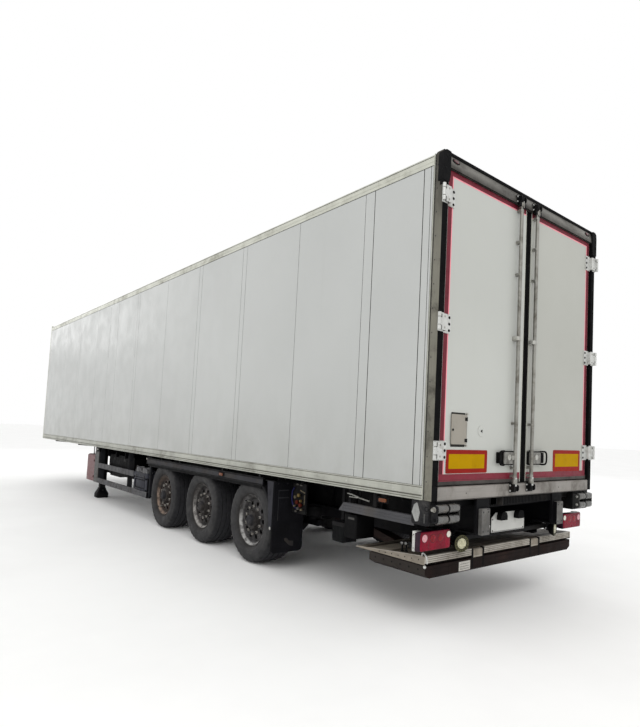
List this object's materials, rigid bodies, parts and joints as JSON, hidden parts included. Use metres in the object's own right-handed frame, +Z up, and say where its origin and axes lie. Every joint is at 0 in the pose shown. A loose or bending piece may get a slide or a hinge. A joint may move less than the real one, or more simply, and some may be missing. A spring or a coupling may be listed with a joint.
{
  "type": "refrigerated semi-trailer",
  "caption": "Refrigerated box semi-trailer with swing rear doors, spread air-sprung axles, landing gear, fridge unit and a folded sliding tail lift.",
  "frame": {"origin": "on the ground, under the middle of the overall box", "axes": "+X forward to the kingpin end, +Y to the left side, +Z up"},
  "size_m": [13.86, 2.628, 3.95],
  "materials": {
    "body_white": "satin white coated steel skins on foam",
    "rail_alloy": "mill finish extrusion, weathered",
    "portal_steel": "stainless, dull",
    "chassis_paint": "black paint, road dust",
    "guard_steel": "galvanised, dusty",
    "stainless": "stainless",
    "rubber_black": "matt",
    "tyre": "worn, dusty",
    "wheel_steel": "dirty silver paint with rust",
    "plastic_grey": "moulded",
    "plastic_black": "moulded",
    "box_red": "faded red",
    "lamp_red": "clear red lens",
    "lift_alloy": "extrusion with road grime",
    "lift_steel": "dirty paint, some rust",
    "unit_white": "white cover"
  },
  "bodies": {
    "trailer": {"floor_panel": "rail_alloy", "side_wall_left": "body_white", "side_wall_right": "body_white", "front_wall": "body_white", "roof_panel": "body_white", "top_rails": "rail_alloy", "bottom_rails": "rail_alloy", "rear_posts": "portal_steel", "rear_header": "portal_steel", "rear_sill": "stainless", "hinge_brackets": "stainless", "refrigeration_unit": "unit_white", "chassis_beam_left": "chassis_paint", "chassis_beam_right": "chassis_paint", "cross_members": "chassis_paint", "skid_plate": "chassis_paint", "landing_legs": "chassis_paint", "side_guards": "guard_steel", "tool_box": "plastic_grey", "stowage_box": "chassis_paint", "extinguisher_box": "box_red", "battery_box": "plastic_black", "mudguard_rails": "chassis_paint", "mud_flaps": "rubber_black", "axle_beams": "chassis_paint", "trailing_arms": "chassis_paint", "air_springs": "rubber_black", "air_tanks": "chassis_paint", "dock_buffer_housings": "chassis_paint", "tail_lamps": "lamp_red", "lamp_bar": "chassis_paint", "lift_slide_rails": "chassis_paint"},
    "door_left": {"rear_door_left": "body_white", "lock_bar_left": "stainless"},
    "door_right": {"rear_door_right": "body_white", "lock_bar_right": "stainless"},
    "hatch": {"door_hatch": "plastic_grey"},
    "carriage": {"lift_carriage": "lift_steel"},
    "arms": {"lift_arms": "lift_steel"},
    "tilt_links": {"tilt_cylinders": "lift_steel"},
    "platform": {"lift_platform": "lift_steel", "lift_tip": "lift_alloy"},
    "wheel_rear_left": {"tyre_rear_left": "tyre", "rim_rear_left": "wheel_steel"},
    "wheel_middle_left": {"tyre_middle_left": "tyre", "rim_middle_left": "wheel_steel"},
    "wheel_front_left": {"tyre_front_left": "tyre", "rim_front_left": "wheel_steel"},
    "rollers_upper_left": {"dock_rollers_upper_left": "stainless"},
    "rollers_lower_left": {"dock_rollers_lower_left": "stainless"},
    "wheel_rear_right": {"tyre_rear_right": "tyre", "rim_rear_right": "wheel_steel"},
    "wheel_middle_right": {"tyre_middle_right": "tyre", "rim_middle_right": "wheel_steel"},
    "wheel_front_right": {"tyre_front_right": "tyre", "rim_front_right": "wheel_steel"},
    "rollers_upper_right": {"dock_rollers_upper_right": "stainless"},
    "rollers_lower_right": {"dock_rollers_lower_right": "stainless"}
  },
  "joints": [
    {"name": "rear_door_left_swing", "type": "hinge", "parent": "trailer", "child": "door_left", "pos_m": [-6.906, 1.3, 2.5], "axis": [0, 0, -1], "range_deg": [0, 265]},
    {"name": "rear_door_right_swing", "type": "hinge", "parent": "trailer", "child": "door_right", "pos_m": [-6.906, -1.3, 2.5], "axis": [0, 0, 1], "range_deg": [0, 265]},
    {"name": "door_hatch_swing", "type": "hinge", "parent": "door_left", "child": "hatch", "pos_m": [-6.87, 0.866, 1.63], "axis": [0, 0, -1], "range_deg": [-110, 0]},
    {"name": "lift_slide_out", "type": "slide", "parent": "trailer", "child": "carriage", "axis": [-1, 0, 0], "range_m": [0, 1.25]},
    {"name": "lift_lower", "type": "hinge", "parent": "carriage", "child": "arms", "pos_m": [-4.902, 0, 0.61], "axis": [0, -1, 0], "range_deg": [0, 29.3]},
    {"name": "lift_tilt_cylinders", "type": "hinge", "parent": "carriage", "child": "tilt_links", "pos_m": [-4.924, 0, 0.718], "axis": [0, -1, 0], "range_deg": [0, 29.3]},
    {"name": "lift_platform_level", "type": "hinge", "parent": "arms", "child": "platform", "pos_m": [-5.732, 0, 0.44], "axis": [0, -1, 0], "range_deg": [-29.3, 0]},
    {"name": "wheel_rear_left_spin", "type": "hinge", "parent": "trailer", "child": "wheel_rear_left", "pos_m": [-3.992, 1.057, 0.485], "axis": [0, 1, 0], "continuous": true},
    {"name": "wheel_middle_left_spin", "type": "hinge", "parent": "trailer", "child": "wheel_middle_left", "pos_m": [-2.682, 1.057, 0.485], "axis": [0, 1, 0], "continuous": true},
    {"name": "wheel_front_left_spin", "type": "hinge", "parent": "trailer", "child": "wheel_front_left", "pos_m": [-1.372, 1.057, 0.485], "axis": [0, 1, 0], "continuous": true},
    {"name": "rollers_upper_left_spin", "type": "hinge", "parent": "trailer", "child": "rollers_upper_left", "pos_m": [-6.894, 1.118, 0.989], "axis": [0, 1, 0], "continuous": true},
    {"name": "rollers_lower_left_spin", "type": "hinge", "parent": "trailer", "child": "rollers_lower_left", "pos_m": [-6.894, 1.118, 0.905], "axis": [0, 1, 0], "continuous": true},
    {"name": "wheel_rear_right_spin", "type": "hinge", "parent": "trailer", "child": "wheel_rear_right", "pos_m": [-3.992, -1.057, 0.485], "axis": [0, 1, 0], "continuous": true},
    {"name": "wheel_middle_right_spin", "type": "hinge", "parent": "trailer", "child": "wheel_middle_right", "pos_m": [-2.682, -1.057, 0.485], "axis": [0, 1, 0], "continuous": true},
    {"name": "wheel_front_right_spin", "type": "hinge", "parent": "trailer", "child": "wheel_front_right", "pos_m": [-1.372, -1.057, 0.485], "axis": [0, 1, 0], "continuous": true},
    {"name": "rollers_upper_right_spin", "type": "hinge", "parent": "trailer", "child": "rollers_upper_right", "pos_m": [-6.894, -1.118, 0.989], "axis": [0, 1, 0], "continuous": true},
    {"name": "rollers_lower_right_spin", "type": "hinge", "parent": "trailer", "child": "rollers_lower_right", "pos_m": [-6.894, -1.118, 0.905], "axis": [0, 1, 0], "continuous": true}
  ],
  "couplings": [
    {"joint": "lift_platform_level", "follows": "lift_lower", "ratio": -1},
    {"joint": "lift_tilt_cylinders", "follows": "lift_lower", "ratio": 1}
  ]
}
